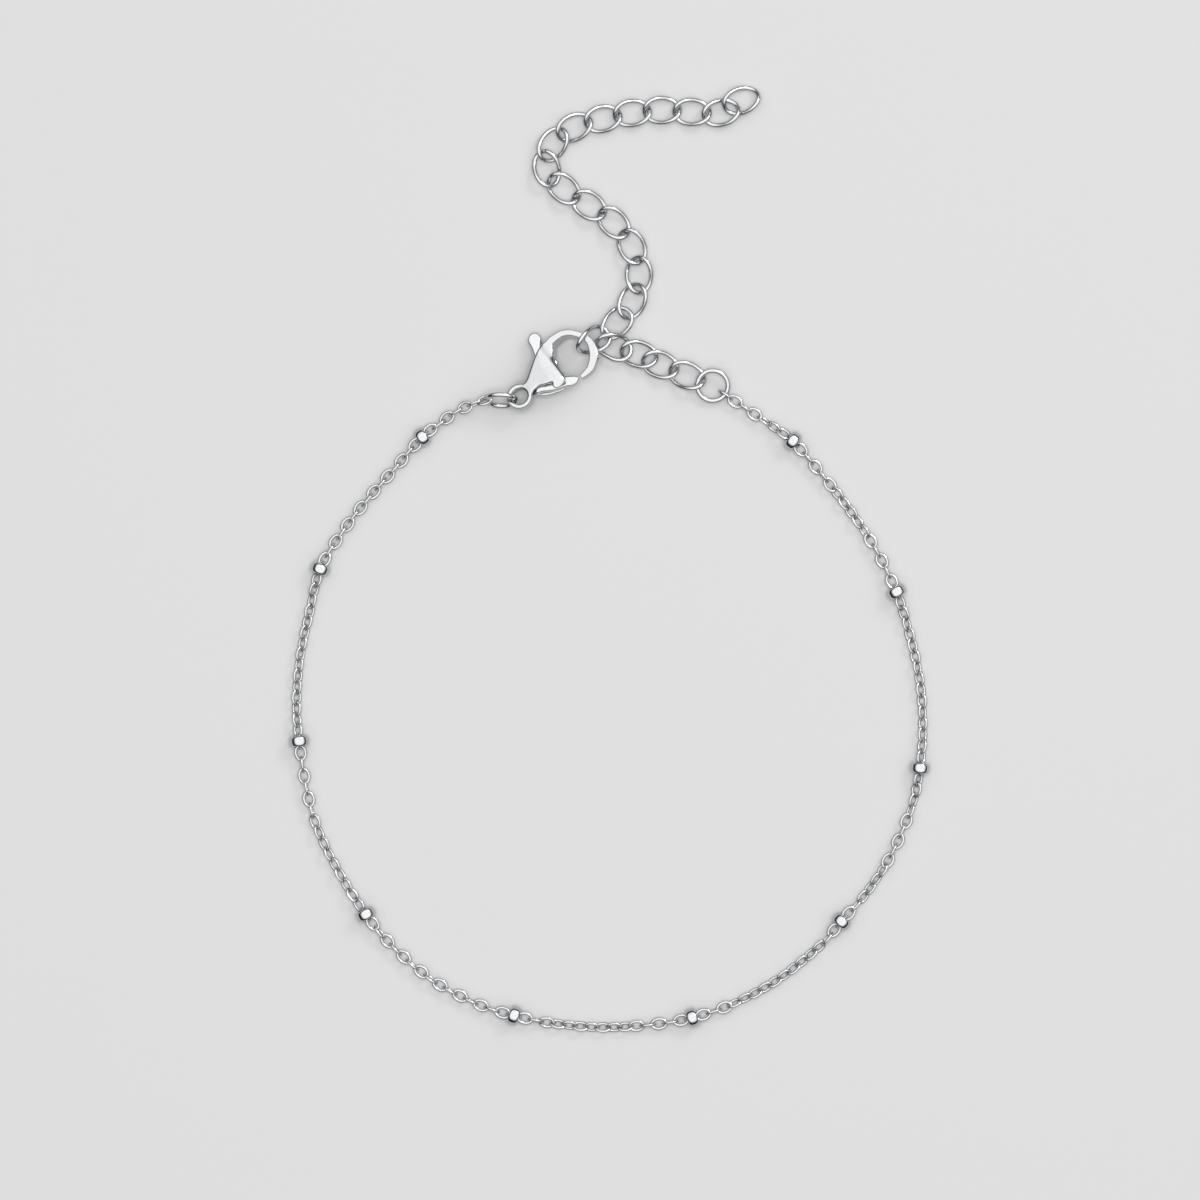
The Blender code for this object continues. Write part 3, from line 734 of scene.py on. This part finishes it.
# %% Clasp outlines
far_side = [
    (0.095, 0.100), (0.150, 0.125), (0.206, 0.180), (0.258, 0.236), (0.307, 0.287), (0.361, 0.336),
    (0.421, 0.380), (0.473, 0.415), (0.520, 0.425), (0.575, 0.425), (0.600, 0.395), (0.588, 0.325)]
hole_side = [
    (0.560, 0.268), (0.533, 0.200), (0.502, 0.122), (0.480, 0.032), (0.469, -0.063), (0.463, -0.163),
    (0.453, -0.258), (0.436, -0.340), (0.404, -0.384), (0.362, -0.390)]
front_plate = far_side + hole_side + [
    (0.328, -0.378), (0.306, -0.350), (0.303, -0.300), (0.314, -0.248), (0.295, -0.215), (0.250, -0.168),
    (0.205, -0.115), (0.150, -0.105), (0.095, -0.110)]
back_plate = far_side + hole_side + [
    (0.325, -0.372), (0.285, -0.338), (0.227, -0.285), (0.177, -0.215), (0.138, -0.130), (0.095, -0.110)]
shoulder = [
    (0.492, 0.125), (0.492, 0.300), (0.492, 0.414), (0.520, 0.422), (0.570, 0.420), (0.594, 0.394),
    (0.583, 0.325), (0.556, 0.268), (0.529, 0.200), (0.505, 0.140)]
neck = [(0.092, 0.110), (0.115, 0.112), (0.135, 0.060), (0.135, -0.060), (0.115, -0.112), (0.092, -0.115)]
hook_route = [
    (0.520, 0.345), (0.560, 0.365), (0.599, 0.370), (0.650, 0.362), (0.704, 0.340), (0.760, 0.277),
    (0.806, 0.168), (0.843, 0.036), (0.853, -0.081), (0.830, -0.228), (0.785, -0.350), (0.699, -0.465),
    (0.631, -0.488), (0.562, -0.488)]
hook_widths_mm = [0.80, 0.90, 0.90, 0.82, 0.74, 0.70, 0.68, 0.62, 0.76, 1.00, 0.98, 0.84, 0.72, 0.44]
lever_outline = [
    (0.524, 0.704), (0.538, 0.645), (0.530, 0.580), (0.505, 0.515), (0.459, 0.420), (0.412, 0.295),
    (0.368, 0.141), (0.342, -0.031), (0.391, -0.195), (0.466, -0.293), (0.533, -0.400), (0.537, -0.458),
    (0.502, -0.508), (0.450, -0.494), (0.395, -0.425), (0.345, -0.386), (0.290, -0.335), (0.238, -0.268),
    (0.190, -0.200), (0.150, -0.165), (0.150, -0.120), (0.210, -0.030), (0.265, 0.094), (0.330, 0.300),
    (0.376, 0.440), (0.396, 0.520), (0.402, 0.590), (0.408, 0.650), (0.424, 0.697), (0.455, 0.737),
    (0.492, 0.738)]
print("plate outlines have", len(front_plate), "and", len(back_plate), "points")

# %% [markdown]
# Few shapers are enough for the clasp: a flat plate with round edges, a bar swept along a route, a pin,
# and the melt that turns a heap of overlapping parts into one closed skin. Blender's own filled and
# bevelled curve makes the plates, because it keeps an edge round at every corner of an outline.

# %% Plate shaper
steps_between_points = 8
weld_distance = 0.002 * MM


def smooth_through(points, count, closed):
    """Points of a smooth curve through a list."""
    total = len(points) if closed else len(points) - 1
    made = []
    for index in range(count if closed else count + 1):
        place = total * index / count
        first = min(int(place), total - 1)
        if closed:
            before, here, there, after = [points[(first + shift) % len(points)] for shift in (-1, 0, 1, 2)]
        else:
            here, there = points[first], points[first + 1]
            before = points[first - 1] if first > 0 else here * 2 - there
            after = points[first + 2] if first + 2 < len(points) else there * 2 - here
        made.append(smooth_between(before, here, there, after, place - first))
    return made


def rounded_plate(name, shares, low, high, edge):
    """A flat plate between two heights, with round edges: a filled curve made a mesh and welded."""
    curve = bpy.data.curves.new(name, "CURVE")
    curve.dimensions = "2D"
    curve.fill_mode = "BOTH"
    curve.extrude = (high - low) / 2 - edge
    curve.bevel_depth = edge
    curve.bevel_resolution = 3
    curve.offset = -edge
    spline = curve.splines.new("POLY")
    points = smooth_through(in_plane(shares), steps_between_points * len(shares), True)
    spline.points.add(len(points) - 1)
    for spline_point, point in zip(spline.points, points):
        spline_point.co = (*point, 0, 1)
    spline.use_cyclic_u = True
    holder = add_object(name, curve)
    bpy.context.view_layer.update()
    mesh = bpy.data.meshes.new_from_object(holder.evaluated_get(bpy.context.evaluated_depsgraph_get()))
    bpy.data.objects.remove(holder, do_unlink=True)
    shape = bmesh.new()
    shape.from_mesh(mesh)
    bmesh.ops.remove_doubles(shape, verts=shape.verts, dist=weld_distance)
    bmesh.ops.recalc_face_normals(shape, faces=shape.faces)
    bmesh.ops.translate(shape, vec=(0, 0, (high + low) / 2), verts=shape.verts)
    shape.to_mesh(mesh)
    shape.free()
    return mesh


print("outline points on a plate's curve:", steps_between_points * len(front_plate))


# %% Bar and pin shapers
def swept_bar(name, route_points, widths, heights, closed, squareness, sides=24):
    """A bar along a flat route, with a rounded square section that may taper."""
    rows = []
    last = len(route_points) - 1
    for index, point in enumerate(route_points):
        before = route_points[index - 1] if closed or index else point
        after = route_points[(index + 1) % len(route_points)] if closed or index < last else point
        ahead = (after - before).normalized()
        side = Vector((-ahead.y, ahead.x))
        for corner in range(sides):
            angle = 2 * math.pi * corner / sides
            c, s = math.cos(angle), math.sin(angle)
            across = math.copysign(abs(c) ** (2 / squareness), c) * widths[index] / 2
            high = math.copysign(abs(s) ** (2 / squareness), s) * heights[index] / 2
            rows.append((*(point + side * across), high))
    faces = []
    for index in range(len(route_points) if closed else last):
        here, there = index * sides, (index + 1) % len(route_points) * sides
        for corner in range(sides):
            after = (corner + 1) % sides
            faces.append((here + corner, here + after, there + after, there + corner))
    if not closed:
        faces.append(tuple(reversed(range(sides))))
        faces.append(tuple(range(last * sides, last * sides + sides)))
    mesh = bpy.data.meshes.new(name)
    mesh.from_pydata(rows, [], faces)
    shape = bmesh.new()
    shape.from_mesh(mesh)
    bmesh.ops.recalc_face_normals(shape, faces=shape.faces)
    shape.to_mesh(mesh)
    shape.free()
    return mesh


def solid_pin(name, place, diameter, length):
    """A round pin across the plates."""
    mesh = bpy.data.meshes.new(name)
    shape = bmesh.new()
    bmesh.ops.create_cone(shape, cap_ends=True, segments=28, radius1=diameter / 2, radius2=diameter / 2,
                          depth=length)
    bmesh.ops.translate(shape, vec=place, verts=shape.verts)
    shape.to_mesh(mesh)
    shape.free()
    return mesh


print("widest part of the hook's bar in mm:", max(hook_widths_mm))


# %% Melt and keep
def keep_shape(piece):
    """Apply an object's modifiers by keeping only its evaluated mesh."""
    bpy.context.view_layer.update()
    mesh = bpy.data.meshes.new_from_object(piece.evaluated_get(bpy.context.evaluated_depsgraph_get()))
    piece.modifiers.clear()
    piece.data = mesh


def melted(name, meshes, voxel, passes):
    """Join closed meshes into one skin: voxel remesh, then smooth."""
    shape = bmesh.new()
    for mesh in meshes:
        shape.from_mesh(mesh)
    joined = bpy.data.meshes.new(name)
    shape.to_mesh(joined)
    shape.free()
    piece = add_object(name, joined)
    remesh = piece.modifiers.new("melt", "REMESH")
    remesh.mode = "VOXEL"
    remesh.voxel_size = voxel
    soften = piece.modifiers.new("buff", "SMOOTH")
    soften.factor = 0.5
    soften.iterations = passes
    keep_shape(piece)
    return piece


def set_points(mesh, points):
    """Give a mesh its changed points back."""
    mesh.vertices.foreach_set("co", points.ravel())
    mesh.update()


def dress(piece, steel):
    """Put a part of the clasp in its place, shaded smooth and in its steel."""
    piece.data.transform(clasp_place)
    piece.data.shade_smooth()
    piece.data.materials.clear()
    piece.data.materials.append(steel)


print("casting and lever share one place:", [round(c / MM, 2) for c in clasp_place.translation])

# %% [markdown]
# The two plates are 0.9 mm thick with the lever's slot between them, and the front one has a notch that
# shows the lever. They meet at the shoulder, where the hook starts, and at the neck, which thins down to
# the eye.

# %% Casing, hook and eye sizes
plate_face = 1.45 * MM
slot_half = 0.55 * MM
plate_edge = 0.28 * MM
shoulder_edge = 0.15 * MM
eye_bore = 1.80 * MM
eye_wall = 0.60 * MM
eye_height = 1.25 * MM
eye_bends = 64
pivot = in_plane([(0.282, -0.141)])[0]
pin_diameter = 0.6 * MM
hook_bends = 5 * (len(hook_route) - 1)
hook_squareness, eye_squareness = 9.0, 3.6
casting_voxel, lever_voxel = 0.06 * MM, 0.05 * MM
melt_passes, buff_passes = 4, 2
print("slot in mm:", round(2 * slot_half / MM, 2))

# %% Melting the casting
hook_points = smooth_through(in_plane(hook_route), hook_bends, False)
hook_run = [index / hook_bends for index in range(hook_bends + 1)]
width_places = np.linspace(0, 1, len(hook_widths_mm))
hook_widths = [width * MM for width in np.interp(hook_run, width_places, hook_widths_mm)]
eye_radius = (eye_bore + eye_wall) / 2
eye_route = [Vector((eye_radius * math.cos(a), eye_radius * math.sin(a)))
             for a in [2 * math.pi * index / eye_bends for index in range(eye_bends)]]
clasp = melted("clasp_cast", [
    rounded_plate("front_plate", front_plate, slot_half, plate_face, plate_edge),
    rounded_plate("back_plate", back_plate, -plate_face, -slot_half, plate_edge),
    rounded_plate("shoulder", shoulder, -plate_face, plate_face, shoulder_edge),
    rounded_plate("neck", neck, -plate_face, plate_face, plate_edge),
    solid_pin("pin", (*pivot, 0), pin_diameter, plate_face),
    swept_bar("hook", hook_points, hook_widths, [2 * plate_face] * len(hook_points), closed=False,
              squareness=hook_squareness),
    swept_bar("eye", eye_route, [eye_wall] * eye_bends, [2 * plate_face] * eye_bends, closed=True,
              squareness=eye_squareness)], casting_voxel, melt_passes)
print("points in the rough casting:", len(clasp.data.vertices))

# %% [markdown]
# The rough casting is as thick everywhere as its casing, and buffing makes the rest. It could be carved by
# hand in sculpt mode, but a rule for each place repeats exactly. Each rule presses points towards the
# clasp's middle plane: a slope along the rim beside the hook's hole, deepest at its lower end, with a
# slight dome behind it; a neck that thins to the eye; and a hook that thins from the shoulder to its tip.
# Walls of the slot stay.

# %% Rim of the casing
rim_narrow, rim_wide = 0.30 * MM, 0.80 * MM
rim_from, rim_to = -2.3 * MM, 1.6 * MM             # across the clasp, where it is wide and where narrow
rim_drop = 0.34 * MM
rim_fade = (-0.25 * clasp_width, 0.27 * clasp_width)
rim_loss = 0.9                                     # share of the drop that is gone past the fade
rim_end, rim_run_out = 0.62 * clasp_length, 0.8 * MM
dome_width = 1.6 * MM
dome_drop = 0.12 * MM


def eased(low, high, values):
    """Zero below one value, one above another, with a soft start and end."""
    return softened(np.clip((values - low) / (high - low), 0, 1))


def far_from(points, line):
    """Distance of each point to a line of short pieces, in the clasp's plane."""
    nearest = np.full(len(points), np.inf)
    for start, stop in zip(line, line[1:]):
        ahead = stop - start
        share = np.clip(((points - start) @ ahead) / (ahead @ ahead), 0, 1)
        nearest = np.minimum(nearest, np.linalg.norm(points - start - share[:, None] * ahead, axis=1))
    return nearest


points = mesh_points(clasp.data)
rim_line = np.array([tuple(point) for point in smooth_through(in_plane(hole_side), 60, False)])
from_rim = far_from(points[:, :2], rim_line)
rim_width = np.interp(points[:, 1], (rim_from, rim_to), (rim_wide, rim_narrow))
rim_depth = rim_drop * (1 - rim_loss * eased(*rim_fade, points[:, 1]))
drop = rim_depth * np.clip(1 - from_rim / rim_width, 0, 1)
drop += dome_drop * np.clip(1 - from_rim / dome_width, 0, 1)
height = np.abs(points[:, 2])
on_plates = np.clip((height - slot_half) / (plate_face - slot_half), 0, 1)
before_hook = np.clip((rim_end - points[:, 0]) / rim_run_out, 0, 1)
height -= drop * on_plates * before_hook
print("deepest press at the rim in mm:", round(float(drop.max()) / MM, 2))

# %% Neck
neck_thin = eye_height / (2 * plate_face)
neck_start, neck_reach = 0.06 * clasp_length, 0.38 * clasp_length
slot_start, slot_full = 0.11 * clasp_length, 0.16 * clasp_length
neck_share = neck_thin + (1 - neck_thin) * np.clip((points[:, 0] - neck_start) / neck_reach, 0, 1)
wall_share = (plate_face * neck_share - slot_half) / (plate_face - slot_half)
beside_slot = np.where(height > slot_half, slot_half + (height - slot_half) * wall_share, height)
past_neck = eased(slot_start, slot_full, points[:, 0])
height = height * neck_share * (1 - past_neck) + beside_slot * past_neck
print("eye as a share of the casing's thickness:", round(neck_thin, 2))

# %% Hook's thickness
thinning = ((0, 0.3, 0.5, 0.6, 1), (0.74, 0.64, 0.44, 0.35, 0.33))     # run along the hook, thickness left
shoulder_along = (0.40 * clasp_length, 0.53 * clasp_length)
shoulder_across = (-0.10 * clasp_width, 0.15 * clasp_width)
band_reach = (0.55 * MM, 0.95 * MM)
band_start = (0.15, 0.3)
route_points = np.array([tuple(point) for point in hook_points])
apart = np.linalg.norm(points[:, None, :2] - route_points[None], axis=2)
along_hook = apart.argmin(axis=1) / hook_bends
thickness = np.interp(along_hook, *thinning)
on_shoulder = eased(*shoulder_along, points[:, 0]) * eased(*shoulder_across, points[:, 1])
on_band = (1 - eased(*band_reach, apart.min(axis=1))) * eased(*band_start, along_hook)
on_hook = np.maximum(on_shoulder, on_band)
points[:, 2] = np.sign(points[:, 2]) * height * (1 - on_hook * (1 - thickness))
print("points on the hook:", int((on_hook > 0.5).sum()))

# %% Finished casting
set_points(clasp.data, points)
soften = clasp.modifiers.new("buff", "SMOOTH")
soften.iterations = buff_passes
keep_shape(clasp)
dress(clasp, cast_steel)
finish_piece(clasp, "anklet", "clasp_steel", "clasp_body")

# %% [markdown]
# ## Lever
#
# The lever is pressed from strip and rocks on a pin between the plates. One end is the thumb tab, which
# swells a little, and the other is the gate that shuts the hook. A bevelled box could be bent into it, but
# its outline has few straight parts, so it is a rounded plate like the casing's. The pin hole is drilled
# last by a boolean, as on the real one, because the melt would soften a hole drawn in the outline.

# %% Lever
lever_half = 0.4 * MM
lever_edge = 0.16 * MM
pin_play = 0.12 * MM
tab_swell = 0.35
tab_start, tab_full = 0.42 * clasp_width, 0.58 * clasp_width
lever = melted("clasp_lever_strip", [
    rounded_plate("strip", lever_outline, -lever_half, lever_half, lever_edge)], lever_voxel, melt_passes)
points = mesh_points(lever.data)
points[:, 2] *= 1 + tab_swell * eased(tab_start, tab_full, points[:, 1])
set_points(lever.data, points)
drill = add_object("drill", solid_pin("drill", (*pivot, 0), pin_diameter + pin_play, 4 * lever_half))
hole = lever.modifiers.new("hole", "BOOLEAN")
hole.operation = "DIFFERENCE"
hole.object = drill
keep_shape(lever)
bpy.data.objects.remove(drill, do_unlink=True)
dress(lever, strip_steel)
finish_piece(lever, "clasp_lever", "clasp_steel", "clasp_lever")
